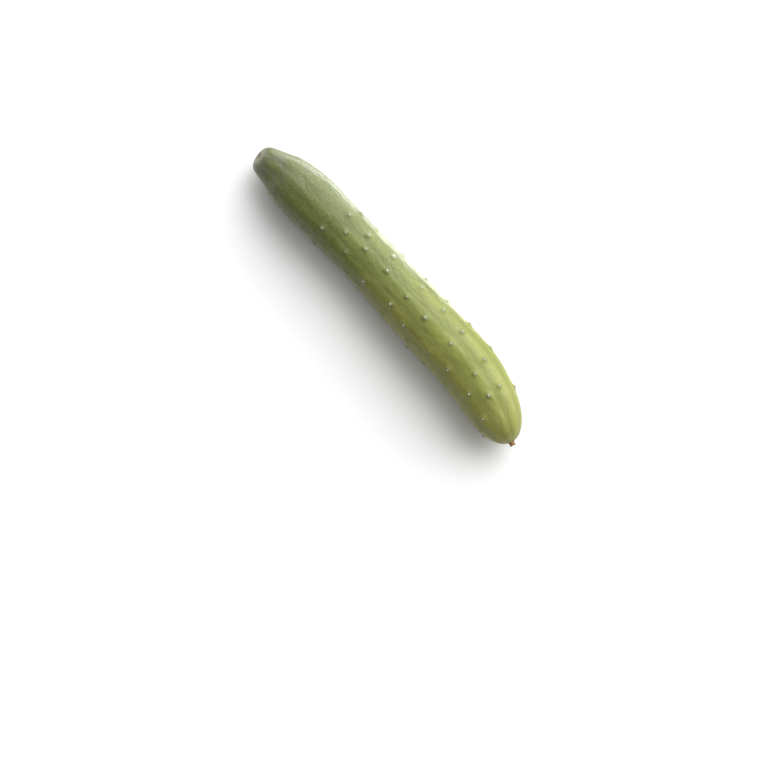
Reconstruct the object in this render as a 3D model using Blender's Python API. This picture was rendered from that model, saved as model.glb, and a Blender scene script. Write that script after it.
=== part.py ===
"""A japanese cucumber as picked, lying on its side: one closed skin with ribs, warts, stem scar and flower nub.

The skin is first drawn as a flat sheet. One way on the sheet follows the fruit's outline from the stem scar to the
flower nub, and the other way goes once round it. Points stand in rows, with rings of points at each wart, and are
joined into triangles. Then every point is lifted onto the fruit, the sheet's two long edges meet, and its two short
edges close to a point each.

Metres, +Z up. +X runs from the stem end to the flower end, and +Y is the outside of the bend. Angles round the fruit
start straight up and turn towards +Y. The fruit rests on z = 0, on a narrow flat along its underside.
"""

import math
import random

import bmesh
import bpy
import numpy as np
from mathutils.geometry import delaunay_2d_cdt

MM = 0.001

# Driving dimensions
LENGTH = 215 * MM
GIRTH_RADIUS = 16 * MM

# The outline, as (millimetres from the stem scar, radius in millimetres)
STEM_END = ((0.8, 0), (0.7, 1.4), (0.1, 2.3), (0.1, 3.6), (0.5, 5.6), (1.6, 7.2), (3.7, 8.4), (6.8, 9.4), (12, 10.7),
            (20, 13.2))
BODY = ((32, 15.2), (46, 15.4), (70, 15), (88, 15), (115, 15.9), (141, 16.6), (163, 16.6))
# The same for the flower end, with the first number counted back from the tip
FLOWER_END = ((34, 16), (21, 14.4), (12, 11.9), (6.2, 8.7), (3.2, 5.7), (1.8, 3), (1.4, 1.5), (0.3, 1.1), (0, 0))
CURVE_STEPS, MIDDLE_STEPS = 12, 400

# The flat round the stem scar is slanted, so that it faces upwards a little
SLANT, SLANT_LENGTH, SLANT_TOWARDS = math.radians(25), 30 * MM, math.radians(-10)
SCAR_FLAT_RADIUS = 4 * MM

# The bend, which lies flat: how far each end turns, over what length, and a faint sway between
STEM_TURN, STEM_TURN_LENGTH = math.radians(8.6), 40 * MM
FLOWER_TURN, FLOWER_TURN_START, FLOWER_TURN_LENGTH = math.radians(17.8), 141 * MM, 60 * MM
SWAY, SWAY_START, SWAY_LENGTH = math.radians(1.7), 66 * MM, 160 * MM

# Low relief round the section
RIBS, RIB_RELIEF, RIB_CREST = 10, 0.22 * MM, math.radians(-1)
LOBES, LOBE_RELIEF, LOBE_CREST = 3, 0.30 * MM, math.radians(62)
WAVE_RELIEF, WAVE_LENGTH, SHORT_WAVES = 0.16 * MM, 43 * MM, 1.7
RELIEF_FADE = 26 * MM

# The underside stays level between these two places, and is pressed flat by this much
LEVEL_FROM, LEVEL_TO = 34 * MM, 170 * MM
PRESSED = 0.2 * MM

# Warts stand in one row on each rib
WART_SEED = 653
FIRST_WART, LAST_WART, WART_PITCH = 52 * MM, 202 * MM, 17.5 * MM
WART_SWAY, WART_SLIDE, WART_APART = math.radians(9), 4 * MM, 4.8 * MM
WART_SIZES = (0.75, 1.15)
SWELL_RADIUS, SWELL_HEIGHT = 4.2 * MM, 0.16 * MM
MOUND_RADIUS, MOUND_HEIGHT = 1.9 * MM, 0.5 * MM
SPINE_RADIUS, SPINE_HEIGHT = 0.6 * MM, 0.35 * MM
FOOT_POINTS, SPINE_POINTS = 8, 6

# The sheet's rows and columns
COLUMNS = 4 * RIBS
ROW_GAP = 3.4 * MM
STEM_ROWS, FLOWER_ROWS = 8, 7
CLEAR_OF_WART = 0.9 * MM
WELD = 0.001 * MM

# The seam of the sheet runs along the furrow next to the underside
SEAM_RIB = 4.5
SEAM = RIB_CREST + math.tau * SEAM_RIB / RIBS
SHEET_WIDTH = math.tau * GIRTH_RADIUS


def clear_scene():
    for thing in list(bpy.data.objects):
        bpy.data.objects.remove(thing)


def ease(x):
    """0 below 0, 1 above 1, and a smooth step between."""
    x = np.clip(x, 0, 1)
    return x * x * (3 - 2 * x)


def dome(distance, radius):
    """A round hill, 1 high at its middle and level where it ends."""
    inside = np.clip(1 - (distance / radius) ** 2, 0, None)
    return inside * inside


def outline_points():
    """The hand-set points of the outline in metres, as (place along the fruit, radius)."""
    back = [(LENGTH / MM - from_tip, radius) for from_tip, radius in FLOWER_END]
    return np.array([*STEM_END, *BODY, *back]) * MM


def smooth_curve(points):
    """A smooth curve through the points, and how far along it each of them lies."""
    gaps = np.linalg.norm(np.diff(points, axis=0), axis=1)[:, None]
    slopes = np.diff(points, axis=0) / gaps
    inner = (slopes[:-1] * gaps[1:] + slopes[1:] * gaps[:-1]) / (gaps[:-1] + gaps[1:])
    tangents = np.vstack([slopes[:1], inner, slopes[-1:]])
    k = np.linspace(0, 1, CURVE_STEPS, endpoint=False)[:, None]
    runs = []
    for i, gap in enumerate(gaps):
        start = (2 * k**3 - 3 * k**2 + 1) * points[i] + (k**3 - 2 * k**2 + k) * gap * tangents[i]
        end = (3 * k**2 - 2 * k**3) * points[i + 1] + (k**3 - k**2) * gap * tangents[i + 1]
        runs.append(start + end)
    curve = np.vstack([*runs, points[-1:]])
    reach = np.concatenate([[0], np.cumsum(np.linalg.norm(np.diff(curve, axis=0), axis=1))])
    return curve, reach, reach[::CURVE_STEPS]


OUTLINE, REACH, REACH_OF_POINTS = smooth_curve(outline_points())
SHEET_LENGTH = REACH[-1]


def reach_at(along):
    """How far along the outline a place on the body lies."""
    return np.interp(along, OUTLINE[:, 0], REACH)


def heading(along):
    """The direction that the fruit's middle line takes, turned from +X towards +Y."""
    stem = STEM_TURN * (1 - ease(along / STEM_TURN_LENGTH))
    flower = FLOWER_TURN * ease((along - FLOWER_TURN_START) / FLOWER_TURN_LENGTH)
    sway = SWAY * np.sin(math.tau * (along - SWAY_START) / SWAY_LENGTH)
    return stem - flower - sway


def middle_line():
    """Even steps along the middle line, with its x and y at each."""
    along = np.linspace(0, LENGTH, MIDDLE_STEPS)
    step = along[1]
    middle = heading(along[:-1] + step / 2)
    x = np.concatenate([[0], np.cumsum(np.cos(middle) * step)])
    y = np.concatenate([[0], np.cumsum(np.sin(middle) * step)])
    return along, x, y


def section(reach, around):
    """Place along the fruit and radius, before the warts."""
    along = np.interp(reach, REACH, OUTLINE[:, 0])
    radius = np.interp(reach, REACH, OUTLINE[:, 1])
    fade = ease(reach / RELIEF_FADE) * ease((SHEET_LENGTH - reach) / RELIEF_FADE)
    ribs = RIB_RELIEF * np.cos(RIBS * (around - RIB_CREST))
    lobes = LOBE_RELIEF * np.cos(LOBES * (around - LOBE_CREST))
    phase = math.tau * along / WAVE_LENGTH
    waves = WAVE_RELIEF * (np.sin(phase + around) + np.sin(SHORT_WAVES * phase - 2 * around))
    waves = waves * np.cos(around / 2) ** 2
    slant = math.tan(SLANT) * (SCAR_FLAT_RADIUS + radius * np.cos(around - SLANT_TOWARDS))
    slant = slant * (1 - ease(along / SLANT_LENGTH))
    return along + slant, radius + fade * (ribs + lobes + waves)


def distance(points, reach, across):
    """How far the sheet's points lie from one place, the shorter way round the fruit."""
    round_gap = (points[:, 1] - across + SHEET_WIDTH / 2) % SHEET_WIDTH - SHEET_WIDTH / 2
    return np.hypot(points[:, 0] - reach, round_gap)


def place_warts():
    """Every wart as (place along the outline, place round on the sheet, size)."""
    draw = random.Random(WART_SEED)
    warts = []
    for row in range(RIBS):
        crest = RIB_CREST + math.tau * row / RIBS
        along = FIRST_WART + WART_PITCH * draw.random()
        while along < LAST_WART:
            around = crest + WART_SWAY * draw.uniform(-1, 1)
            reach = reach_at(along + WART_SLIDE * draw.uniform(-1, 1))
            size = draw.uniform(*WART_SIZES)
            across = (around - SEAM) % math.tau * GIRTH_RADIUS
            if all(math.hypot(reach - r, across - a) > WART_APART for r, a, _ in warts):
                warts.append((reach, across, size))
            along += WART_PITCH
    return warts


def wart_height(points, warts):
    """How far the warts lift each point of the sheet."""
    height = np.zeros(len(points))
    for reach, across, size in warts:
        away = distance(points, reach, across)
        hill = SWELL_HEIGHT * dome(away, SWELL_RADIUS) + MOUND_HEIGHT * dome(away, MOUND_RADIUS)
        spine = SPINE_HEIGHT * np.clip(1 - away / SPINE_RADIUS, 0, 1)
        height += size * (hill + spine)
    return height


def row_places():
    """Rows at the outline's own points near both ends, and even rows between."""
    first = REACH_OF_POINTS[:STEM_ROWS]
    last = REACH_OF_POINTS[-FLOWER_ROWS:]
    count = round((last[0] - first[-1]) / ROW_GAP)
    between = np.linspace(first[-1], last[0], count + 1)[1:-1]
    return np.concatenate([first, between, last])


def ring(reach, across, radius, count, turn):
    angles = turn + math.tau * np.arange(count) / count
    return np.column_stack([reach + radius * np.cos(angles), across + radius * np.sin(angles)])


def sheet_points(warts):
    """The grid of the sheet with the points near warts taken out, and each wart's own rings."""
    columns = np.linspace(0, SHEET_WIDTH, COLUMNS + 1)
    grid = np.array([(reach, across) for reach in row_places() for across in columns])
    edge = (grid[:, 1] == 0) | (grid[:, 1] == SHEET_WIDTH)
    keep = np.ones(len(grid), bool)
    rings = []
    for reach, across, _ in warts:
        away = distance(grid, reach, across)
        keep &= away > MOUND_RADIUS + CLEAR_OF_WART
        rings.append([(reach, across)])
        rings.append(ring(reach, across, SPINE_RADIUS, SPINE_POINTS, 0))
        rings.append(ring(reach, across, MOUND_RADIUS, FOOT_POINTS, math.pi / FOOT_POINTS))
    return np.vstack([grid[keep | edge], *rings])


def lift(points, warts):
    """Sheet points as places on the fruit."""
    around = SEAM + points[:, 1] / GIRTH_RADIUS
    along, radius = section(points[:, 0], around)
    radius = radius + wart_height(points, warts)
    line, line_x, line_y = middle_line()
    turned = heading(along)
    aside = radius * np.sin(around)
    x = np.interp(along, line, line_x) - aside * np.sin(turned)
    y = np.interp(along, line, line_y) + aside * np.cos(turned)
    level = np.interp(np.clip(along, LEVEL_FROM, LEVEL_TO), OUTLINE[:, 0], OUTLINE[:, 1])
    z = level - PRESSED + radius * np.cos(around)
    return np.column_stack([x, y, np.maximum(z, 0)])


def centred(places):
    """Moves the fruit so that the middle of its box is over the origin."""
    low = places.min(axis=0)
    high = places.max(axis=0)
    return places - [(low[0] + high[0]) / 2, (low[1] + high[1]) / 2, 0]


def cucumber_mesh():
    warts = place_warts()
    points = sheet_points(warts)
    flat, _, faces, *_ = delaunay_2d_cdt(points.tolist(), [], [], 0, WELD)
    places = centred(lift(np.array([p[:] for p in flat]), warts))
    mesh = bpy.data.meshes.new("cucumber")
    mesh.from_pydata(places.tolist(), [], faces)
    shape = bmesh.new()
    shape.from_mesh(mesh)
    bmesh.ops.remove_doubles(shape, verts=shape.verts, dist=WELD)
    bmesh.ops.recalc_face_normals(shape, faces=shape.faces)
    shape.to_mesh(mesh)
    shape.free()
    mesh.shade_smooth()
    print(len(warts), "warts,", len(mesh.polygons), "triangles")
    return mesh


def skin_material():
    material = bpy.data.materials.new("skin")
    material.use_nodes = True
    shader = material.node_tree.nodes["Principled BSDF"]
    shader.inputs["Base Color"].default_value = (0.13, 0.20, 0.055, 1)
    shader.inputs["Roughness"].default_value = 0.42
    shader.inputs["Metallic"].default_value = 0
    return material


def main():
    clear_scene()
    mesh = cucumber_mesh()
    mesh.materials.append(skin_material())
    fruit = bpy.data.objects.new("cucumber", mesh)
    bpy.context.scene.collection.objects.link(fruit)


main()
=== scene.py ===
# %% [markdown]
# A japanese cucumber, from plain solid to portrait
#
# The real thing is one fruit that grew as one piece: a long tube of thin, waxy skin with faint ribs, small warts that
# each carry a pale tip, a corky scar where the stem was cut and a dried nub where the flower fell off. The plain
# solid made elsewhere already has its size and its bend. This script gives it a fine skin, the small dry parts,
# their colours, and a quiet place to lie in.
#
# Everything is in metres, with Z up. X runs from the stem end to the flower end.

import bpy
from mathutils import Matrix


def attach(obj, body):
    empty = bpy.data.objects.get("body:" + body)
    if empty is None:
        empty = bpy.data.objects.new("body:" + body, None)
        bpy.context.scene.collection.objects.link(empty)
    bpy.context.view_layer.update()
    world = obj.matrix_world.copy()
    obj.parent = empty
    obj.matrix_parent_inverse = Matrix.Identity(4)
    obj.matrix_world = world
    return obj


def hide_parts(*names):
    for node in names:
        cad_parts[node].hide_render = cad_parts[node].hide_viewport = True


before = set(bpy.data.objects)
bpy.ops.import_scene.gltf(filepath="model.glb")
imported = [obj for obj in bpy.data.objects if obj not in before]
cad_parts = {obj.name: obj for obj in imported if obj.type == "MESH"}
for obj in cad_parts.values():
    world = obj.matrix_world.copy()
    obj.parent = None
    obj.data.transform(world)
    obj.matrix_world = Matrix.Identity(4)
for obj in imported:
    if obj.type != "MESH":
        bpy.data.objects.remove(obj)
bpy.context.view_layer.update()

# %% [markdown]
# The outline of the fruit
#
# Cut the fruit in half lengthwise and its edge is one smooth curve: a shallow dish at the stem scar, round shoulders,
# a long body with a faint waist, and a blunt flower end. A circle or a stretched ball would miss all of these. So the
# curve is drawn through a few points, each a place along the fruit and a radius, in millimetres. The points are the
# plain solid's own. Where they sit close together the curve turns sharply, and where they are far apart it glides.

# %% Draw the outline
import math
import random

import bpy
import numpy as np

MM = 0.001
LENGTH = 215 * MM
GIRTH_RADIUS = 16 * MM

STEM_END = ((0.8, 0), (0.7, 1.4), (0.1, 2.3), (0.1, 3.6), (0.5, 5.6), (1.6, 7.2), (3.7, 8.4), (6.8, 9.4), (12, 10.7),
            (20, 13.2))
BODY = ((32, 15.2), (46, 15.4), (70, 15), (88, 15), (115, 15.9), (141, 16.6), (163, 16.6))
FLOWER_END = ((34, 16), (21, 14.4), (12, 11.9), (6.2, 8.7), (3.2, 5.7), (1.8, 3), (1.4, 1.5), (0.3, 1.1), (0, 0))
CURVE_STEPS = 12


def smooth_curve(points):
    """A smooth curve through the points, and how far along the curve each of its own points lies."""
    gaps = np.linalg.norm(np.diff(points, axis=0), axis=1)[:, None]
    slopes = np.diff(points, axis=0) / gaps
    inner = (slopes[:-1] * gaps[1:] + slopes[1:] * gaps[:-1]) / (gaps[:-1] + gaps[1:])
    tangents = np.vstack([slopes[:1], inner, slopes[-1:]])
    k = np.linspace(0, 1, CURVE_STEPS, endpoint=False)[:, None]
    runs = []
    for i, gap in enumerate(gaps):
        start = (2 * k**3 - 3 * k**2 + 1) * points[i] + (k**3 - 2 * k**2 + k) * gap * tangents[i]
        end = (3 * k**2 - 2 * k**3) * points[i + 1] + (k**3 - k**2) * gap * tangents[i + 1]
        runs.append(start + end)
    curve = np.vstack([*runs, points[-1:]])
    reach = np.concatenate([[0], np.cumsum(np.linalg.norm(np.diff(curve, axis=0), axis=1))])
    return curve, reach


flower_points = [(LENGTH / MM - from_tip, radius) for from_tip, radius in FLOWER_END]
OUTLINE, REACH = smooth_curve(np.array([*STEM_END, *BODY, *flower_points]) * MM)
SKIN_LENGTH = REACH[-1]
print(f"outline: {SKIN_LENGTH / MM:.0f} mm along the skin, {2 * OUTLINE[:, 1].max() / MM:.1f} mm across at most")

# %% [markdown]
# Ribs, lobes and waves
#
# A turned outline alone looks like a wooden dowel. On the fruit ten soft ribs run lengthwise, the section is a little
# three-sided, and the skin swells and sinks in slow waves. All of that is one sum of cosines added to the radius, so
# it costs nothing and can be read off anywhere on the skin. It fades out towards both ends, where the skin closes.
# The ribs are lower here than on the plain solid, because gloss on a fine skin shows even a tenth of a millimetre.
# The stem end is cut at a slant, so every ring of skin near it is pushed back at its upper side.

# %% Add the low relief
RIBS, RIB_RELIEF, RIB_CREST = 10, 0.11 * MM, math.radians(-1)
LOBES, LOBE_RELIEF, LOBE_CREST = 3, 0.30 * MM, math.radians(62)
WAVE_RELIEF, WAVE_LENGTH, SHORT_WAVES = 0.16 * MM, 43 * MM, 1.7
RELIEF_FADE = 26 * MM
SLANT, SLANT_LENGTH, SLANT_TOWARDS = math.radians(25), 30 * MM, math.radians(-10)
SCAR_FLAT_RADIUS = 4 * MM


def ease(x):
    """0 below 0, 1 above 1, and a smooth step between."""
    x = np.clip(x, 0, 1)
    return x * x * (3 - 2 * x)


def slanted(along, radius, around):
    """Pushes the upper side of the stem end back, so that the flat round the scar faces upwards a little."""
    slant = math.tan(SLANT) * (SCAR_FLAT_RADIUS + radius * np.cos(around - SLANT_TOWARDS))
    return along + slant * (1 - ease(along / SLANT_LENGTH))


def section(reach, around):
    """Place along the fruit and radius, for a distance along the skin and an angle from straight up."""
    along = np.interp(reach, REACH, OUTLINE[:, 0])
    radius = np.interp(reach, REACH, OUTLINE[:, 1])
    fade = ease(reach / RELIEF_FADE) * ease((SKIN_LENGTH - reach) / RELIEF_FADE)
    ribs = RIB_RELIEF * np.cos(RIBS * (around - RIB_CREST))
    lobes = LOBE_RELIEF * np.cos(LOBES * (around - LOBE_CREST))
    phase = math.tau * along / WAVE_LENGTH
    waves = WAVE_RELIEF * (np.sin(phase + around) + np.sin(SHORT_WAVES * phase - 2 * around))
    # The waves die out towards the underside, so that the fruit still lies flat.
    waves = waves * np.cos(around / 2) ** 2
    return slanted(along, radius, around), radius + fade * (ribs + lobes + waves)


print(f"relief: {RIBS} ribs of {RIB_RELIEF / MM:.2f} mm, waves of {WAVE_RELIEF / MM:.2f} mm")

# %% [markdown]
# Where the warts sit
#
# Warts grow in rows, one row on each rib, but never in step. A ruler would look printed and pure chance would leave
# bald patches. So each row starts at a random place, goes on at an even pitch, and every wart is then nudged along
# and round by a random amount. The draw has a fixed seed, so the same fruit comes out every time.

# %% Place the warts
WART_SEED = 653
FIRST_WART, LAST_WART, WART_PITCH = 52 * MM, 202 * MM, 17.5 * MM
WART_SWAY, WART_SLIDE, WART_APART = math.radians(9), 4 * MM, 4.8 * MM
WART_SIZES = (0.75, 1.15)
SEAM_RIB = 4.5
SEAM = RIB_CREST + math.tau * SEAM_RIB / RIBS
SKIN_WIDTH = math.tau * GIRTH_RADIUS


def place_warts():
    """Every wart as (distance along the skin, distance round the skin from the seam, size)."""
    draw = random.Random(WART_SEED)
    placed = []
    for row in range(RIBS):
        crest = RIB_CREST + math.tau * row / RIBS
        along = FIRST_WART + WART_PITCH * draw.random()
        while along < LAST_WART:
            around = crest + WART_SWAY * draw.uniform(-1, 1)
            reach = np.interp(along + WART_SLIDE * draw.uniform(-1, 1), OUTLINE[:, 0], REACH)
            size = draw.uniform(*WART_SIZES)
            across = (around - SEAM) % math.tau * GIRTH_RADIUS
            if all(math.hypot(reach - r, across - a) > WART_APART for r, a, _ in placed):
                placed.append((reach, across, size))
            along += WART_PITCH
    return placed


warts = place_warts()
print(len(warts), "warts")

# %% [markdown]
# The shape of one wart
#
# Close up a wart is three things: a wide, barely visible swell that pulls the skin up, a round mound on it, and the
# dry foot of a spine on top. The first two belong to the skin and are raised by formula. The spine's foot is a
# little piece of its own further down, because it has another colour with a crisp edge.

# %% Raise the warts
SWELL_RADIUS, SWELL_HEIGHT = 4.2 * MM, 0.16 * MM
MOUND_RADIUS, MOUND_HEIGHT = 2.5 * MM, 0.50 * MM
VEIN_CLEARANCE = 3.8 * MM


def dome(distance, radius):
    """A round hill, 1 high at its middle and level where it ends."""
    inside = np.clip(1 - (distance / radius) ** 2, 0, None)
    return inside * inside


def wart_distance(points, reach, across):
    """How far points of the skin lie from one place, the shorter way round the fruit."""
    round_gap = (points[:, 1] - across + SKIN_WIDTH / 2) % SKIN_WIDTH - SKIN_WIDTH / 2
    return np.hypot(points[:, 0] - reach, round_gap)


def raise_warts(points):
    """How far the warts lift each point, how far up its mound each is, and how near to a wart, both from 0 to 1."""
    height = np.zeros(len(points))
    mound = np.zeros(len(points))
    nearness = np.zeros(len(points))
    for reach, across, size in warts:
        away = wart_distance(points, reach, across)
        height += size * (SWELL_HEIGHT * dome(away, SWELL_RADIUS) + MOUND_HEIGHT * dome(away, MOUND_RADIUS))
        mound = np.maximum(mound, dome(away, MOUND_RADIUS * size))
        nearness = np.maximum(nearness, dome(away, VEIN_CLEARANCE))
    return height, mound, nearness


print(f"a middling wart stands {(SWELL_HEIGHT + MOUND_HEIGHT) / MM:.2f} mm proud of the skin")

# %% [markdown]
# The unevenness that the eye expects
#
# Gloss shows every flaw in a surface, and a skin without any looks like plastic. Real skin has shallow dents longer
# than they are wide, a few hundredths of a millimetre deep. Here they are a sum of sine waves in random directions.
# The waves live in space around a straightened fruit, so they meet at the seam with no line between. This straight
# fruit is an even rod, but for its stem end, which narrows as the real one does. There the skin closes round the
# scar, and on a rod every pattern would be pinched into hairs that point at the scar.

# %% Add shallow dents
DENT_SEED, DENT_WAVES = 21, 40
DENT_DEPTH, DENT_SIZE, DENT_STRETCH = 0.035 * MM, 6 * MM, 2.6
EVEN_FROM = 45 * MM


def straightened(points):
    """Where points of the skin would lie on a straight fruit, even but for its stem end: a place for patterns."""
    around = SEAM + points[:, 1] / GIRTH_RADIUS
    radius = np.interp(points[:, 0], REACH, OUTLINE[:, 1])
    radius = radius + (GIRTH_RADIUS - radius) * ease(points[:, 0] / EVEN_FROM)
    return np.column_stack([points[:, 0], radius * np.sin(around), radius * np.cos(around)])


def dents(places):
    """How far the dents lift or lower each place on the straightened fruit."""
    draw = np.random.default_rng(DENT_SEED)
    height = np.zeros(len(places))
    for _ in range(DENT_WAVES):
        direction = draw.normal(size=3) / (DENT_STRETCH, 1, 1)
        height += np.sin(places @ direction * math.tau / DENT_SIZE + draw.uniform(0, math.tau))
    # Random waves partly cancel out. The root brings the depth back to the one that is named.
    return DENT_DEPTH * height * math.sqrt(2 / DENT_WAVES)


print(f"dents: {DENT_DEPTH / MM:.3f} mm deep, from {DENT_WAVES} waves")

# %% [markdown]
# Pale veins under the skin
#
# Here and there a fine raised line runs lengthwise for some centimetres and catches the light near the edges of the
# fruit. A bump in the material would vanish at the outline, so these lines are raised in the mesh. Each one has its
# own angle, start, end and a slow waver, and it dies out beside a wart. Their strength is kept too, so that the
# colour
# can follow the relief: the veins are painted paler, partly their own tone and partly a painted highlight.

# %% Raise the veins
VEIN_SEED, VEINS = 5, 34
VEIN_HEIGHT, VEIN_WIDTH = 0.055 * MM, math.radians(2.6)
VEIN_SHORTEST, VEIN_LONGEST, VEIN_FADE = 40 * MM, 120 * MM, 14 * MM
FIRST_VEIN, FAINTEST_VEIN = 12 * MM, 0.4
VEIN_WAVER, WAVER_LENGTH = math.radians(1.6), 38 * MM


def veins(points):
    """How strongly each point of the skin lies on a vein, from 0 to 1."""
    draw = np.random.default_rng(VEIN_SEED)
    around = SEAM + points[:, 1] / GIRTH_RADIUS
    strength = np.zeros(len(points))
    for _ in range(VEINS):
        angle = draw.uniform(0, math.tau)
        length = draw.uniform(VEIN_SHORTEST, VEIN_LONGEST)
        start = draw.uniform(FIRST_VEIN, SKIN_LENGTH - length / 2)
        waver = VEIN_WAVER * np.sin(math.tau * points[:, 0] / WAVER_LENGTH + draw.uniform(0, math.tau))
        aside = (around - angle - waver + math.pi) % math.tau - math.pi
        fade = ease((points[:, 0] - start) / VEIN_FADE) * ease((start + length - points[:, 0]) / VEIN_FADE)
        near_end = ease((SKIN_LENGTH - points[:, 0]) / VEIN_FADE)
        strong = draw.uniform(FAINTEST_VEIN, 1)
        strength = np.maximum(strength, strong * fade * near_end * np.exp(-(aside / VEIN_WIDTH) ** 2))
    return strength


print(f"veins: {VEINS}, up to {VEIN_HEIGHT / MM:.3f} mm high")

# %% [markdown]
# The ridge at the stem
#
# On top of the stem end one low pale ridge runs from the corner of the scar a centimetre down the shoulder. It is
# what is left of an edge of the stem. A narrow hill along one line of the skin is enough.

# %% Raise the ridge at the stem
RIDGE_HEIGHT, RIDGE_WIDTH = 0.22 * MM, 0.85 * MM
RIDGE_FROM, RIDGE_TO, RIDGE_AROUND = 4.2 * MM, 15 * MM, math.radians(14)
RIDGE_RISE, RIDGE_FALL = 1.5 * MM, 9 * MM


def stem_ridge(points):
    """How far the ridge lifts each point of the skin."""
    around = SEAM + points[:, 1] / GIRTH_RADIUS
    radius = np.interp(points[:, 0], REACH, OUTLINE[:, 1])
    aside = ((around - RIDGE_AROUND + math.pi) % math.tau - math.pi) * radius
    fade = ease((points[:, 0] - RIDGE_FROM) / RIDGE_RISE) * ease((RIDGE_TO - points[:, 0]) / RIDGE_FALL)
    return RIDGE_HEIGHT * fade * np.exp(-(aside / RIDGE_WIDTH) ** 2)


print(f"ridge: {(RIDGE_TO - RIDGE_FROM) / MM:.0f} mm long")

# %% [markdown]
# Bend the skin and lay it down
#
# Real cucumbers of this kind bow a little as they hang, most near the ends. The bend is a heading that changes along
# the fruit. Its small steps are added up to the middle line, and each ring of skin is set square to it. The fruit
# lies on its side, so the bend is level, and its own weight presses a narrow flat along the underside.

# %% Bend the fruit
STEM_TURN, STEM_TURN_LENGTH = math.radians(8.6), 40 * MM
FLOWER_TURN, FLOWER_TURN_START, FLOWER_TURN_LENGTH = math.radians(17.8), 141 * MM, 60 * MM
SWAY, SWAY_START, SWAY_LENGTH = math.radians(1.7), 66 * MM, 160 * MM
MIDDLE_STEPS = 400
LEVEL_FROM, LEVEL_TO = 34 * MM, 170 * MM
PRESSED = 0.2 * MM


def heading(along):
    """The direction that the middle line takes, turned from +X towards +Y."""
    stem = STEM_TURN * (1 - ease(along / STEM_TURN_LENGTH))
    flower = FLOWER_TURN * ease((along - FLOWER_TURN_START) / FLOWER_TURN_LENGTH)
    sway = SWAY * np.sin(math.tau * (along - SWAY_START) / SWAY_LENGTH)
    return stem - flower - sway


def bend(along, radius, around):
    """Places in space for rings of skin along the bent middle line."""
    steps = np.linspace(0, LENGTH, MIDDLE_STEPS)
    turned = heading(steps[:-1] + steps[1] / 2)
    line_x = np.concatenate([[0], np.cumsum(np.cos(turned) * steps[1])])
    line_y = np.concatenate([[0], np.cumsum(np.sin(turned) * steps[1])])
    aside = radius * np.sin(around)
    x = np.interp(along, steps, line_x) - aside * np.sin(heading(along))
    y = np.interp(along, steps, line_y) + aside * np.cos(heading(along))
    level = np.interp(np.clip(along, LEVEL_FROM, LEVEL_TO), OUTLINE[:, 0], OUTLINE[:, 1])
    z = level - PRESSED + radius * np.cos(around)
    return np.column_stack([x, y, z])


print("bend, in degrees at the two ends:", [round(math.degrees(heading(end))) for end in (0, LENGTH)])

# %% [markdown]
# The fine skin
#
# Now the skin can be a net of small oblongs, about half a millimetre each. That is fine enough for a wart to be
# round and not faceted. Each end closes with a fan of triangles round one point. The corners of every face are named
# in the order that makes it look outward, because a skin with its inside out goes wrong in other programs. Every
# corner also keeps where it is on the straightened fruit, how far up a wart, and how near to a vein or the ridge. The
# colours read those numbers later.

# %% Build the fine skin
SKIN_ROWS, SKIN_COLUMNS = 394, 252


def skin_places(points):
    """Places in space for points of the skin."""
    around = SEAM + points[:, 1] / GIRTH_RADIUS
    along, radius = section(points[:, 0], around)
    height, _, nearness = raise_warts(points)
    height = height + dents(straightened(points)) + VEIN_HEIGHT * veins(points) * (1 - nearness) + stem_ridge(points)
    return bend(along, radius + height, around)


def skin_net(rows, columns):
    """The faces of a closed skin, with a fan of triangles at each end, as corner numbers."""
    faces = []
    for row in range(rows - 1):
        for column in range(columns):
            after = (column + 1) % columns
            a = row * columns
            faces.append((a + column, a + columns + column, a + columns + after, a + after))
    start, end = rows * columns, rows * columns + 1
    last = (rows - 1) * columns
    for column in range(columns):
        after = (column + 1) % columns
        faces.append((start, column, after))
        faces.append((end, last + after, last + column))
    return faces


def new_piece(name, places, faces):
    """A smooth mesh object that rides on the fruit."""
    mesh = bpy.data.meshes.new(name)
    mesh.from_pydata(places.tolist(), [], faces)
    mesh.validate()
    mesh.shade_smooth()
    piece = bpy.data.objects.new(name, mesh)
    bpy.context.scene.collection.objects.link(piece)
    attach(piece, "root")
    return piece


row_reach = np.linspace(0, SKIN_LENGTH, SKIN_ROWS + 2)
column_across = np.arange(SKIN_COLUMNS) * SKIN_WIDTH / SKIN_COLUMNS
ring_points = [(reach, across) for reach in row_reach[1:-1] for across in column_across]
skin_points = np.array(ring_points + [(0, 0), (SKIN_LENGTH, 0)])
places = skin_places(skin_points)
middle = (places.min(axis=0) + places.max(axis=0)) / 2
SHIFT = np.array([-middle[0], -middle[1], 0])
places = places + SHIFT
places[:, 2] = np.maximum(places[:, 2], 0)
skin = new_piece("cucumber_skin", places, skin_net(SKIN_ROWS, SKIN_COLUMNS))
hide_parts("cucumber")
print("fine skin:", len(skin.data.polygons), "faces")

# %% [markdown]
# Notes for the colours
#
# A wart's top is paler than the skin round it, and so is a vein. A material that guessed at such places with noise
# would put them where no wart is. So the numbers that shaped the skin are kept on its corners, each under a name, and
# the material reads them.

# %% Note places and warts on the skin
PATTERN_UNIT = MM


def keep_number(mesh, name, values):
    """Keeps one number for each corner of a mesh, under a name."""
    note = mesh.attributes.new(name, "FLOAT", "POINT")
    note.data.foreach_set("value", np.asarray(values, dtype=np.float32))


def keep_place(mesh, points):
    """The place on the straightened fruit, in millimetres, for the patterns."""
    note = mesh.attributes.new("straight", "FLOAT_VECTOR", "POINT")
    note.data.foreach_set("vector", (straightened(points) / PATTERN_UNIT).astype(np.float32).ravel())


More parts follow.
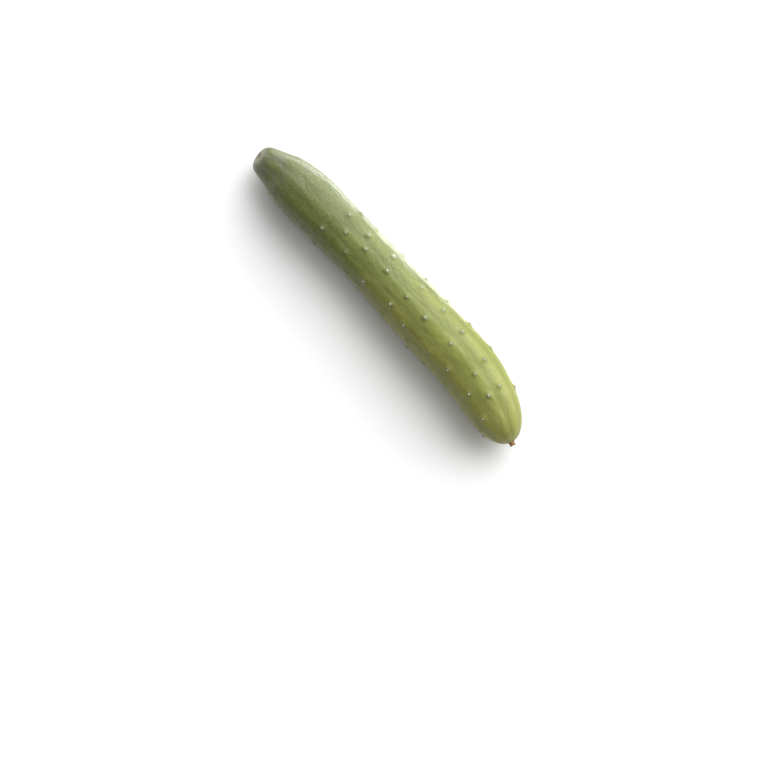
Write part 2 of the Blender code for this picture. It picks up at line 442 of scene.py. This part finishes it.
skin_around = SEAM + skin_points[:, 1] / GIRTH_RADIUS
keep_place(skin.data, skin_points)
_, skin_mound, skin_nearness = raise_warts(skin_points)
keep_number(skin.data, "mound", skin_mound)
keep_number(skin.data, "rib", np.cos(RIBS * (skin_around - RIB_CREST)))
keep_number(skin.data, "vein", veins(skin_points) * (1 - skin_nearness))
keep_number(skin.data, "ridge", stem_ridge(skin_points) / RIDGE_HEIGHT)
print(f"corners on a wart: {np.count_nonzero(skin_mound)} of {len(skin_points)}")

# %% [markdown]
# Nodes without tears
#
# A painted picture of skin would smear when seen close, and would need to be unwrapped. A recipe of nodes makes the
# same marks at any size. A few short helpers keep the recipe readable: read a number kept on the mesh, make noise,
# squeeze a value into a band, and mix two colours.

# %% Helpers for node recipes
def new_material(name, roughness, specular):
    """A material's node tree and its Principled shader."""
    material = bpy.data.materials.new(name)
    material.use_nodes = True
    shader = material.node_tree.nodes["Principled BSDF"]
    shader.inputs["Roughness"].default_value = roughness
    shader.inputs["Specular IOR Level"].default_value = specular
    return material, material.node_tree, shader


def plug(tree, socket, value):
    """Links a node's output to a socket, or sets a plain number or colour on it."""
    if isinstance(value, bpy.types.NodeSocket):
        tree.links.new(value, socket)
    else:
        socket.default_value = value


def kept(tree, name, output="Fac"):
    """Reads what is kept on the mesh under a name."""
    node = tree.nodes.new("ShaderNodeAttribute")
    node.attribute_name = name
    return node.outputs[output]


def stretched(tree, vector, by):
    """The place, with each direction scaled, so that a pattern can be long and narrow."""
    node = tree.nodes.new("ShaderNodeMapping")
    node.vector_type = "POINT"
    plug(tree, node.inputs["Vector"], vector)
    node.inputs["Scale"].default_value = by
    return node.outputs["Vector"]


def noise(tree, vector, per_unit, detail=3.0, roughness=0.5):
    """Soft random blots, about so many to each unit of the place: a millimetre on the skin, a metre elsewhere."""
    node = tree.nodes.new("ShaderNodeTexNoise")
    plug(tree, node.inputs["Vector"], vector)
    node.inputs["Scale"].default_value = per_unit
    node.inputs["Detail"].default_value = detail
    node.inputs["Roughness"].default_value = roughness
    return node.outputs["Fac"]


def band(tree, value, low, high, to_low=0.0, to_high=1.0):
    """Squeezes a value between two limits, with a soft start and end."""
    node = tree.nodes.new("ShaderNodeMapRange")
    node.interpolation_type = "SMOOTHSTEP"
    plug(tree, node.inputs["Value"], value)
    for name, number in (("From Min", low), ("From Max", high), ("To Min", to_low), ("To Max", to_high)):
        node.inputs[name].default_value = number
    return node.outputs["Result"]


def sums(tree, how, first, second):
    """Adds, multiplies or divides two values."""
    node = tree.nodes.new("ShaderNodeMath")
    node.operation = how
    plug(tree, node.inputs[0], first)
    plug(tree, node.inputs[1], second)
    return node.outputs["Value"]


def mixed(tree, amount, first, second):
    """One colour that turns into another by an amount from 0 to 1."""
    node = tree.nodes.new("ShaderNodeMix")
    node.data_type = "RGBA"
    plug(tree, node.inputs["Factor"], amount)
    plug(tree, node.inputs[6], first)
    plug(tree, node.inputs[7], second)
    return node.outputs[2]


def bumps(tree, height, depth, under=None):
    """Tilts the shading as if the surface went up and down by this depth in metres."""
    node = tree.nodes.new("ShaderNodeBump")
    plug(tree, node.inputs["Height"], height)
    node.inputs["Distance"].default_value = depth
    if under:
        plug(tree, node.inputs["Normal"], under)
    return node.outputs["Normal"]


# %% [markdown]
# The colour of the skin
#
# Round the scar the skin is dusty and greyish. From there the stem end is a deep olive green, because it grew in the
# light longest, and towards the flower end the skin turns to a fresh yellow green. The change isn't even: it follows
# slow drifts, long thin streaks, and small flecks. So the place along the fruit is first shaken by noise, and only
# then looked up in a ramp of colours.

# %% Mix the skin's greens
DUSTY_GREEN = (0.128, 0.134, 0.086, 1)
STEM_GREEN = (0.118, 0.138, 0.046, 1)
SHOULDER_GREEN = (0.122, 0.147, 0.036, 1)
MIDDLE_GREEN = (0.152, 0.180, 0.034, 1)
FLOWER_GREEN = (0.240, 0.270, 0.046, 1)
TIP_GREEN = (0.300, 0.308, 0.075, 1)
RAMP_STOPS = ((0, DUSTY_GREEN), (9, DUSTY_GREEN), (24, STEM_GREEN), (46, SHOULDER_GREEN), (100, MIDDLE_GREEN),
              (168, FLOWER_GREEN), (226, TIP_GREEN))

skin_material, tree, shader = new_material("waxy_skin", 0.42, 0.28)
straight = kept(tree, "straight", "Vector")
parts = tree.nodes.new("ShaderNodeSeparateXYZ")
tree.links.new(straight, parts.inputs["Vector"])
along_mm = parts.outputs["X"]
side_mm = parts.outputs["Y"]

drift = noise(tree, stretched(tree, straight, (0.35, 1, 1)), 0.11, 2.0)
shaken = sums(tree, "ADD", along_mm, band(tree, drift, 0.25, 0.75, -16, 16))
ramp = tree.nodes.new("ShaderNodeValToRGB")
ramp.color_ramp.interpolation = "EASE"
ramp_length = RAMP_STOPS[-1][0]
plug(tree, ramp.inputs["Fac"], sums(tree, "DIVIDE", shaken, ramp_length))
while len(ramp.color_ramp.elements) < len(RAMP_STOPS):
    ramp.color_ramp.elements.new(1)
for element, (place, colour) in zip(ramp.color_ramp.elements, RAMP_STOPS):
    element.position = place / ramp_length
    element.color = colour
ground = ramp.outputs["Color"]
print("skin greens at", [place for place, _ in RAMP_STOPS], "mm from the stem end")

# %% [markdown]
# Streaks, flecks and furrows
#
# Several kinds of mark lie on that green. Long pale streaks run lengthwise and get stronger towards the flower end.
# One side of the flower half, the side away from the light, is a warmer, paler green: partly as on the side that a
# fruit turned to the ground, and partly painted bounce light that lifts its shade. Olive patches drift over it. A
# mottle of flecks about a millimetre long, pale and dark, covers the stem third and thins out from there, with a
# finer grain all over. The furrows between the ribs are a touch darker than the crests, as painted shade in the
# hollows, and the veins paler, partly their own tone and partly a painted highlight on their raised line. Most marks
# are noise, stretched along the fruit and squeezed hard so that they have an edge, and faded in or out by the place
# along the fruit.

# %% Lay streaks and flecks on the greens
PALE_STREAK = (0.300, 0.340, 0.120, 1)
PALE_FLECK = (0.235, 0.275, 0.110, 1)
DARK_FLECK = (0.058, 0.076, 0.014, 1)
OLIVE = (0.215, 0.205, 0.042, 1)
BELLY_AND_BOUNCE = (0.285, 0.270, 0.062, 1)
FURROW_SHADE = (0.050, 0.066, 0.014, 1)

streak_noise = noise(tree, stretched(tree, straight, (0.09, 1, 1)), 0.80, 4.0, 0.6)
streak_fade = band(tree, along_mm, 40, 190, 0.04, 0.17)
streaks = sums(tree, "MULTIPLY", band(tree, streak_noise, 0.50, 0.72), streak_fade)
colour = mixed(tree, streaks, ground, PALE_STREAK)

# Paler, warmer shade side of the flower half: partly a ground spot, partly painted bounce light.
belly_and_bounce = sums(tree, "MULTIPLY", band(tree, side_mm, 1, -12), band(tree, along_mm, 70, 135, 0.0, 0.65))
colour = mixed(tree, belly_and_bounce, colour, BELLY_AND_BOUNCE)
patch_noise = noise(tree, stretched(tree, straight, (0.5, 1, 1)), 0.16, 3.0)
patches = sums(tree, "MULTIPLY", band(tree, patch_noise, 0.48, 0.66), band(tree, along_mm, 50, 130, 0.05, 0.38))
colour = mixed(tree, patches, colour, OLIVE)

fleck_noise = noise(tree, stretched(tree, straight, (0.72, 1, 1)), 1.05, 2.0, 0.55)
fleck_fade = band(tree, along_mm, 10, 170, 0.42, 0.26)
colour = mixed(tree, sums(tree, "MULTIPLY", band(tree, fleck_noise, 0.52, 0.68), fleck_fade), colour, PALE_FLECK)
colour = mixed(tree, sums(tree, "MULTIPLY", band(tree, fleck_noise, 0.46, 0.32), fleck_fade), colour, DARK_FLECK)
grain_noise = noise(tree, straight, 2.6, 2.0, 0.6)
colour = mixed(tree, band(tree, grain_noise, 0.50, 0.70, 0.0, 0.24), colour, PALE_FLECK)
colour = mixed(tree, band(tree, grain_noise, 0.48, 0.30, 0.0, 0.24), colour, DARK_FLECK)

# Painted shade: the furrows between the ribs are made darker than the crests.
furrow_shade = band(tree, kept(tree, "rib"), -1.0, 0.3, 0.22, 0.0)
colour = mixed(tree, furrow_shade, colour, FURROW_SHADE)
# Paler veins: partly their own tone, partly a painted highlight along each raised line.
vein_tone_and_highlight = band(tree, noise(tree, stretched(tree, straight, (0.12, 1, 1)), 0.9, 3.0), 0.35, 0.65, 0.04, 0.30)
colour = mixed(tree, sums(tree, "MULTIPLY", kept(tree, "vein"), vein_tone_and_highlight), colour, PALE_STREAK)
print("streaks and flecks:", len(tree.nodes), "nodes so far")

# %% [markdown]
# Wart tops and the rim of the scar
#
# On a wart the skin is stretched thin and looks paler and greyer, and round its foot a thin dark ring of painted
# shade marks where the mound meets the skin. Round the stem scar runs a pale, dry rim with a ragged edge, and the
# ridge beside it has the same dry colour.

# %% Colour the wart tops and the rim
WART_TOP = (0.235, 0.255, 0.150, 1)
WART_FOOT_SHADE = (0.070, 0.090, 0.022, 1)
STEM_RIM = (0.250, 0.245, 0.170, 1)
mound = kept(tree, "mound")
# Painted shade: a dark ring where each wart's mound meets the skin.
colour = mixed(tree, band(tree, mound, 0.02, 0.20, 0.0, 0.25), colour, WART_FOOT_SHADE)
colour = mixed(tree, band(tree, mound, 0.30, 0.95, 0.0, 0.65), colour, WART_TOP)
colour = mixed(tree, band(tree, kept(tree, "ridge"), 0.15, 0.9, 0.0, 0.45), colour, STEM_RIM)
rim_noise = noise(tree, stretched(tree, straight, (0.6, 1, 1)), 1.6, 3.0)
rim_reach = sums(tree, "ADD", along_mm, band(tree, rim_noise, 0.3, 0.7, -1.2, 1.2))
colour = mixed(tree, band(tree, rim_reach, 3.9, 6.5, 0.80, 0.0), colour, STEM_RIM)
plug(tree, shader.inputs["Base Color"], colour)
print("with wart tops and rim:", len(tree.nodes), "nodes")

# %% [markdown]
# Wax and pores
#
# The skin's shine is broken. Its wax is rubbed off in places, so the roughness drifts, and under it lie pores
# and hair-fine lines that only the highlight shows. Light also enters the wet flesh a little before it comes back,
# which softens the shadows. A thin coat gives the crisp wet-looking edge of the highlight.

# %% Finish the skin
PORE_DEPTH, FLECK_DEPTH, LINE_DEPTH, WAVINESS = 0.035 * MM, 0.04 * MM, 0.010 * MM, 0.08 * MM
wax_noise = noise(tree, stretched(tree, straight, (0.5, 1, 1)), 0.5, 4.0, 0.6)
wax = band(tree, wax_noise, 0.32, 0.68, 0.36, 0.54)
plug(tree, shader.inputs["Roughness"], sums(tree, "ADD", wax, band(tree, mound, 0.3, 1.0, 0.0, 0.12)))

fine_lines = noise(tree, stretched(tree, straight, (0.10, 1, 1)), 2.2, 3.0, 0.6)
waviness = noise(tree, stretched(tree, straight, (0.5, 1, 1)), 0.30, 2.0)
normal = bumps(tree, waviness, WAVINESS)
normal = bumps(tree, fine_lines, LINE_DEPTH, normal)
normal = bumps(tree, fleck_noise, FLECK_DEPTH, normal)
normal = bumps(tree, grain_noise, PORE_DEPTH, normal)
plug(tree, shader.inputs["Normal"], normal)

shader.inputs["Subsurface Weight"].default_value = 0.12
shader.inputs["Subsurface Radius"].default_value = (0.6, 1.0, 0.25)
shader.inputs["Subsurface Scale"].default_value = 1.5 * MM
shader.inputs["Coat Weight"].default_value = 0.20
shader.inputs["Coat Roughness"].default_value = 0.16
shader.inputs["Sheen Weight"].default_value = 0.04
shader.inputs["Sheen Roughness"].default_value = 0.30
shader.inputs["Sheen Tint"].default_value = (0.95, 1.0, 0.92, 1)
skin.data.materials.append(skin_material)
print("skin material:", len(tree.nodes), "nodes")

# %% [markdown]
# Spine feet
#
# Each wart carried a brittle spine. Handling breaks most of them and leaves the foot: a pale, dry crumb about a
# millimetre wide, now and then scorched brown. They are too small for the skin's net, so each is a little turned
# cone with a blunt, slightly crooked top, set square on its wart, with its root sunk in the skin. Those that the
# fruit would lie on are left out. All of them are joined in one mesh.

# %% Set the spine feet
FOOT_SEED = 7
FOOT_SIDES = 18
FOOT_PROFILE = ((0.64, -0.16), (0.56, -0.02), (0.48, 0.10), (0.42, 0.22), (0.36, 0.33), (0.27, 0.41), (0.13, 0.45))
FOOT_LEAN, FOOT_WOBBLE, FOOT_GIRTHS, FOOT_CROWN = 0.18, 0.10, (0.65, 1.1), 0.02
PROBE = 0.2 * MM
LOWEST_FOOT = 1.0 * MM


def skin_spot(reach, across):
    """A place on the skin, the direction along it, the direction round it, and the way out."""
    probes = np.array([(reach, across), (reach + PROBE, across), (reach, across + PROBE)])
    here, along, round_it = skin_places(probes) + SHIFT
    along = (along - here) / np.linalg.norm(along - here)
    outward = np.cross(along, round_it - here)
    outward = outward / np.linalg.norm(outward)
    return here, along, np.cross(outward, along), outward


def foot_rings(draw, size):
    """One spine foot standing upright, ring by ring from below, in metres."""
    lean = draw.uniform(-FOOT_LEAN, FOOT_LEAN, size=2)
    girth = 1 + FOOT_WOBBLE * draw.uniform(-1, 1, size=FOOT_SIDES)
    turn = np.arange(FOOT_SIDES) * math.tau / FOOT_SIDES
    rings = []
    for radius, height in FOOT_PROFILE:
        ring = np.column_stack([np.cos(turn), np.sin(turn), np.zeros(FOOT_SIDES)]) * girth[:, None] * radius
        rings.append(ring + (lean[0] * height, lean[1] * height, height))
    top = (*(lean * FOOT_PROFILE[-1][1]), FOOT_PROFILE[-1][1] + FOOT_CROWN)
    return np.vstack([*rings, [top]]) * MM * size


def foot_net(first):
    """The faces of one spine foot whose corners start at this number."""
    faces = []
    for level in range(len(FOOT_PROFILE) - 1):
        for side in range(FOOT_SIDES):
            after = (side + 1) % FOOT_SIDES
            a = first + level * FOOT_SIDES
            faces.append((a + side, a + after, a + FOOT_SIDES + after, a + FOOT_SIDES + side))
    a = first + (len(FOOT_PROFILE) - 1) * FOOT_SIDES
    faces.extend((a + side, a + (side + 1) % FOOT_SIDES, a + FOOT_SIDES) for side in range(FOOT_SIDES))
    return faces


def set_feet():
    """The corners and faces of all spine feet, with a tone and a height in millimetres for each corner."""
    draw = np.random.default_rng(FOOT_SEED)
    places, faces, tones, heights = [], [], [], []
    for reach, across, size in warts:
        here, along, round_it, outward = skin_spot(reach, across)
        rings = foot_rings(draw, size * draw.uniform(*FOOT_GIRTHS))
        tone = draw.random()
        if here[2] < LOWEST_FOOT:
            continue
        faces.extend(foot_net(sum(map(len, places))))
        places.append(here + rings @ np.array([along, round_it, outward]))
        tones.extend([tone] * len(rings))
        heights.extend(rings[:, 2] / MM)
    return np.vstack(places), faces, tones, heights


foot_places, foot_faces, foot_tones, foot_heights = set_feet()
spine_feet = new_piece("spine_feet", foot_places, foot_faces)
keep_number(spine_feet.data, "tone", foot_tones)
keep_number(spine_feet.data, "height", foot_heights)
print("spine feet:", len(foot_faces), "faces")

# %% [markdown]
# The finish of the feet
#
# Dry plant hair is dull and chalky. Most feet are cream, some grey and a few tan, so each foot has one tone of its
# own, kept on its corners. The root takes on some green from the skin, and a fine grain breaks up the rest. Things
# this small need no marks that are placed one by one.

# %% Colour the spine feet
FOOT_CREAM, FOOT_GREY, FOOT_TAN = (0.62, 0.60, 0.47, 1), (0.42, 0.42, 0.33, 1), (0.26, 0.17, 0.085, 1)
FOOT_ROOT = (0.190, 0.215, 0.105, 1)
foot_material, tree, shader = new_material("dry_spine", 0.62, 0.35)
foot_tone = kept(tree, "tone")
foot_colour = mixed(tree, band(tree, foot_tone, 0.35, 0.75), FOOT_CREAM, FOOT_GREY)
foot_colour = mixed(tree, band(tree, foot_tone, 0.84, 0.90), foot_colour, FOOT_TAN)
foot_grain = noise(tree, kept(tree, "position", "Vector"), 4200.0, 2.0)
foot_colour = mixed(tree, band(tree, foot_grain, 0.45, 0.80, 0.0, 0.35), foot_colour, FOOT_TAN)
foot_colour = mixed(tree, band(tree, kept(tree, "height"), 0.0, 0.20, 0.8, 0.0), foot_colour, FOOT_ROOT)
plug(tree, shader.inputs["Base Color"], foot_colour)
plug(tree, shader.inputs["Normal"], bumps(tree, foot_grain, 0.03 * MM))
spine_feet.data.materials.append(foot_material)
print("spine material:", len(tree.nodes), "nodes")

# %% [markdown]
# The stem scar
#
# Where the fruit was cut from the vine a corky disc is left, dished in the middle, with the ends of the veins
# standing as small dots in a ring and cracks between them. It is a thin cap laid in the skin's dish. Its edge dips
# under the skin so that no gap shows.

# %% Make the stem scar
SCAR_RADIUS = 3.55 * MM
SCAR_RINGS, SCAR_SIDES = 22, 96
SCAR_VEINS, BUNDLE_RADIUS, BUNDLE_SIZE, BUNDLE_HEIGHT = 10, 1.75 * MM, 0.40 * MM, 0.16 * MM
BUNDLE_STRAY, BUNDLE_SHUFFLE = 0.2, 5.0
CRACKS, CRACK_DEPTH, CRACK_WIGGLE, CRACK_STEP = 23, 0.05 * MM, 6, 0.4 * MM
GROOVE_AT, GROOVE_WIDTH, GROOVE_DEPTH = 0.7 * MM, 0.35 * MM, 0.09 * MM
SCAR_PROUD, SCAR_TUCK, TUCK_FROM = 0.10 * MM, 0.22 * MM, 0.86
DISH_END = 3 * MM


def scar_relief(radius, around):
    """Veins, cracks, a round groove and the tucked-in edge of the scar, as a height over the dish."""
    height = np.full(len(radius), SCAR_PROUD)
    for vein in range(SCAR_VEINS):
        at = math.tau * vein / SCAR_VEINS + BUNDLE_STRAY * math.sin(BUNDLE_SHUFFLE * vein)
        away = np.hypot(radius * np.cos(around) - BUNDLE_RADIUS * math.cos(at),
                        radius * np.sin(around) - BUNDLE_RADIUS * math.sin(at))
        height += BUNDLE_HEIGHT * dome(away, BUNDLE_SIZE)
    cracks = np.sin(CRACKS * around + CRACK_WIGGLE * np.sin(radius / CRACK_STEP))
    height += CRACK_DEPTH * cracks * ease(radius / MM)
    height -= GROOVE_DEPTH * dome(radius - GROOVE_AT, GROOVE_WIDTH)
    edge = ease((radius / SCAR_RADIUS - TUCK_FROM) / (1 - TUCK_FROM))
    return height - (SCAR_PROUD + SCAR_TUCK) * edge


def end_cap_net(rings, sides):
    """A fan at the middle and rings of squares round it. The middle is corner 0."""
    faces = [(0, 1 + side, 1 + (side + 1) % sides) for side in range(sides)]
    for ring in range(rings - 1):
        for side in range(sides):
            after = (side + 1) % sides
            a = 1 + ring * sides
            faces.append((a + side, a + sides + side, a + sides + after, a + after))
    return faces


def make_scar():
    """The corners of the scar, with their distance from its middle and their height over the dish."""
    radii = np.repeat(np.linspace(0, SCAR_RADIUS, SCAR_RINGS + 1)[1:], SCAR_SIDES)
    around = np.tile(np.arange(SCAR_SIDES) * math.tau / SCAR_SIDES, SCAR_RINGS)
    radii = np.concatenate([[0], radii])
    around = np.concatenate([[0], around])
    stem_side = OUTLINE[:, 0] < DISH_END
    dish = np.interp(radii, OUTLINE[stem_side, 1], OUTLINE[stem_side, 0])
    height = scar_relief(radii, around)
    places = bend(slanted(dish - height, radii, around), radii, around) + SHIFT
    return places, radii, height


scar_places, scar_radii, scar_height = make_scar()
stem_scar = new_piece("stem_scar", scar_places, end_cap_net(SCAR_RINGS, SCAR_SIDES))
keep_number(stem_scar.data, "from_middle", scar_radii / SCAR_RADIUS)
keep_number(stem_scar.data, "proud", scar_height / MM)
print(f"stem scar: {2 * SCAR_RADIUS / MM:.1f} mm across")

# %% [markdown]
# The finish of the scar
#
# Cork is dull. What stands proud is mixed towards a paler cork, so what lies low stays darker. So the
# height that shaped the scar also colours it, a coarse grain lies over that, and the rim is the palest part.

# %% Colour the stem scar
CORK, CORK_DARK, CORK_RIM = (0.360, 0.340, 0.250, 1), (0.185, 0.168, 0.115, 1), (0.450, 0.435, 0.340, 1)
scar_material, tree, shader = new_material("corky_scar", 0.78, 0.25)
from_middle = kept(tree, "from_middle")
cork_grain = noise(tree, kept(tree, "position", "Vector"), 2600.0, 4.0, 0.65)
cork = mixed(tree, band(tree, cork_grain, 0.38, 0.66), CORK_DARK, CORK)
# Higher parts of the scar are made paler; lower parts stay darker.
cork = mixed(tree, band(tree, kept(tree, "proud"), 0.12, 0.24, 0.0, 0.8), cork, CORK_RIM)
cork = mixed(tree, band(tree, from_middle, 0.72, 0.98, 0.0, 0.75), cork, CORK_RIM)
plug(tree, shader.inputs["Base Color"], cork)
plug(tree, shader.inputs["Normal"], bumps(tree, cork_grain, 0.10 * MM))
stem_scar.data.materials.append(scar_material)
print("scar material:", len(tree.nodes), "nodes")

# %% [markdown]
# The flower nub
#
# At the other end the flower dried up and dropped, and left a small woody knob with a ragged five-pointed top. It is
# turned like the fruit's own tip, and its rim is pulled out in five points.

# %% Make the flower nub
NUB_PROFILE = ((2.3, -1.75), (1.9, -1.45), (1.55, -1.0), (1.35, -0.5), (1.42, 0.0), (1.5, 0.35), (1.2, 0.55),
               (0.8, 0.42), (0.4, 0.30))
NUB_SIDES, NUB_POINTS, NUB_MIDDLE, NUB_OPENS_AT = 60, 5, 0.25, -0.5
POINT_SPREAD, POINT_LIFT, POINT_TWIST = 0.22, 0.28, 0.6
NUB_CRINKLES, CRINKLE, CRINKLE_TWIST = 17, 0.05, 9


def make_nub():
    """The corners of the nub, ring by ring from its root to its ragged top, and one in the middle."""
    around = np.arange(NUB_SIDES) * math.tau / NUB_SIDES
    rings = []
    for radius, out in NUB_PROFILE:
        open_up = max(0.0, out - NUB_OPENS_AT)
        crinkles = CRINKLE * np.sin(NUB_CRINKLES * around + CRINKLE_TWIST * out)
        ragged = 1 + POINT_SPREAD * open_up * np.cos(NUB_POINTS * around) + crinkles
        lift = POINT_LIFT * open_up * np.cos(NUB_POINTS * around + POINT_TWIST)
        along = np.full(NUB_SIDES, LENGTH) + MM * (out + lift)
        rings.append((along, radius * MM * ragged, around))
    rings.append((np.array([LENGTH + MM * NUB_MIDDLE]), np.array([0.0]), np.array([0.0])))
    along, radius, around = map(np.concatenate, zip(*rings))
    over = np.clip(along - LENGTH, 0, None)
    tip_heading = heading(np.array([LENGTH]))[0]
    places = bend(np.minimum(along, LENGTH), radius, around)
    return places + np.outer(over, (math.cos(tip_heading), math.sin(tip_heading), 0)) + SHIFT


# The nub's corners run from its root to its top, the scar's from the middle outward, so the numbers are turned round.
nub_net = [tuple(len(NUB_PROFILE) * NUB_SIDES - corner for corner in face)
           for face in end_cap_net(len(NUB_PROFILE), NUB_SIDES)]
flower_nub = new_piece("flower_nub", make_nub(), nub_net)
print("flower nub:", len(nub_net), "faces")

# %% [markdown]
# The finish of the nub
#
# The dried flower is tan and brown like a dead leaf, with no shine at all. Its ragged form does most of the work, so
# two browns that are mixed by a coarse grain are enough, with a bump from the same grain.

# %% Colour the flower nub
NUB_TAN, NUB_BROWN = (0.42, 0.29, 0.135, 1), (0.13, 0.075, 0.032, 1)
nub_material, tree, shader = new_material("dried_flower", 0.8, 0.25)
nub_grain = noise(tree, kept(tree, "position", "Vector"), 2400.0, 4.0, 0.65)
nub_colour = mixed(tree, band(tree, nub_grain, 0.36, 0.64), NUB_BROWN, NUB_TAN)
plug(tree, shader.inputs["Base Color"], nub_colour)
plug(tree, shader.inputs["Normal"], bumps(tree, nub_grain, 0.12 * MM))
flower_nub.data.materials.append(nub_material)
print("nub material:", len(tree.nodes), "nodes")

# %% [markdown]
# The floor
#
# A pale, dull board with hardly any grain, wide enough that its edge is never seen. It isn't part of the fruit.

# %% Lay the floor
FLOOR_SIZE, FLOOR_DROP = 6.0, 0.2 * MM
bpy.ops.mesh.primitive_plane_add(size=FLOOR_SIZE, location=(0, 0, -FLOOR_DROP))
floor = bpy.context.object
floor.name = "floor"
floor_material, tree, shader = new_material("pale_floor", 0.9, 0.1)
shader.inputs["Base Color"].default_value = (0.93, 0.93, 0.93, 1)
floor.data.materials.append(floor_material)
print(f"floor: {FLOOR_SIZE:.0f} m wide")

# %% [markdown]
# The light
#
# A lamp with a hard edge shows as a stripe on a glossy tube. A room with one big window behind a thin curtain
# doesn't, because its brightness fades out to all sides. So the world itself glows: most on the convex side of the
# fruit, a little from above, and hardly at all elsewhere. The side away from the glow falls into shade, and that
# makes a green tube look round.

# %% Let the room glow
def glow(tree, towards, direction, widest, narrowest, strength):
    """A patch of light on the room's wall: full strength within the narrow angle, none outside the wide one."""
    node = tree.nodes.new("ShaderNodeVectorMath")
    node.operation = "DOT_PRODUCT"
    plug(tree, node.inputs[0], towards)
    length = math.hypot(*direction)
    node.inputs[1].default_value = [part / length for part in direction]
    limits = math.cos(math.radians(widest)), math.cos(math.radians(narrowest))
    return band(tree, node.outputs["Value"], *limits, 0.0, strength)


SIDE_WINDOW = ((-0.10, 0.90, 0.38), 62, 8, 4.4)
TOP_WINDOW = ((0, 0.15, 1), 60, 0, 0.76)
DIM_WALLS = 0.10

world = bpy.data.worlds.new("room")
world.use_nodes = True
towards = world.node_tree.nodes.new("ShaderNodeTexCoord").outputs["Generated"]
side_glow = glow(world.node_tree, towards, *SIDE_WINDOW)
top_glow = glow(world.node_tree, towards, *TOP_WINDOW)
room_light = sums(world.node_tree, "ADD", sums(world.node_tree, "ADD", side_glow, top_glow), DIM_WALLS)
plug(world.node_tree, world.node_tree.nodes["Background"].inputs["Strength"], room_light)
world.node_tree.nodes["Background"].inputs["Color"].default_value = (1, 1, 1, 1)
bpy.context.scene.world = world
print(f"room: the side window is {SIDE_WINDOW[-1] / TOP_WINDOW[-1]:.1f} times as bright as the ceiling")

# %% [markdown]
# The edge card
#
# A thin white line runs right on the lit edge of the fruit, wide at the stem half and ever thinner from there. A
# photographer gets such a line with a narrow white card that lies close beside the subject: skin that almost faces
# away from the camera mirrors what lies next to it on the table. Here the card is a long flat lamp that only gloss
# can see, so it draws the line and doesn't light the green. It is an ellipse, because the line then has no hard ends,
# and it is turned a little towards the fruit, because what lies nearer shows nearer to the edge.

# %% Lay the edge card
CARD_SIZE, CARD_WATTS = (0.245, 0.017), 0.115
CARD_PLACE, CARD_TILT, CARD_TURN = (-0.076, 0.051, 0.002), math.radians(-130), math.radians(-8)

card_lamp = bpy.data.lights.new("edge_card", "AREA")
card_lamp.shape = "ELLIPSE"
card_lamp.size, card_lamp.size_y = CARD_SIZE
card_lamp.energy = CARD_WATTS
edge_card = bpy.data.objects.new("edge_card", card_lamp)
bpy.context.scene.collection.objects.link(edge_card)
edge_card.location = CARD_PLACE
edge_card.rotation_euler = (CARD_TILT, 0, CARD_TURN)
edge_card.visible_diffuse = False
edge_card.visible_camera = False
print(f"edge card: {CARD_SIZE[0] / MM:.0f} mm long, {CARD_PLACE[1] / MM:.0f} mm beside the middle line")

# %% [markdown]
# The camera
#
# A long lens from a metre away keeps the fruit's width true from end to end. The camera looks down on the fruit as
# it lies, with its stem end at the upper left, and keeps it as large in the picture as in the photograph.

# %% Set the camera
import mathutils

LENS = 105
AZIMUTH, ELEVATION = math.radians(46.34), math.radians(84)
AIM, CAMERA_DISTANCE = (38.1 * MM, -36.8 * MM, 0), 1258 * MM

camera_data = bpy.data.cameras.new("camera")
camera_data.lens = LENS
camera = bpy.data.objects.new("camera", camera_data)
bpy.context.scene.collection.objects.link(camera)
bpy.context.scene.camera = camera
back = mathutils.Vector((math.sin(AZIMUTH) * math.cos(ELEVATION), -math.cos(AZIMUTH) * math.cos(ELEVATION),
                         math.sin(ELEVATION)))
camera.location = mathutils.Vector(AIM) + back * CAMERA_DISTANCE
camera.rotation_euler = back.to_track_quat("Z", "Y").to_euler()
bpy.context.scene.view_settings.view_transform = "Standard"
print(f"camera: {LENS} mm lens, {CAMERA_DISTANCE:.2f} m away")
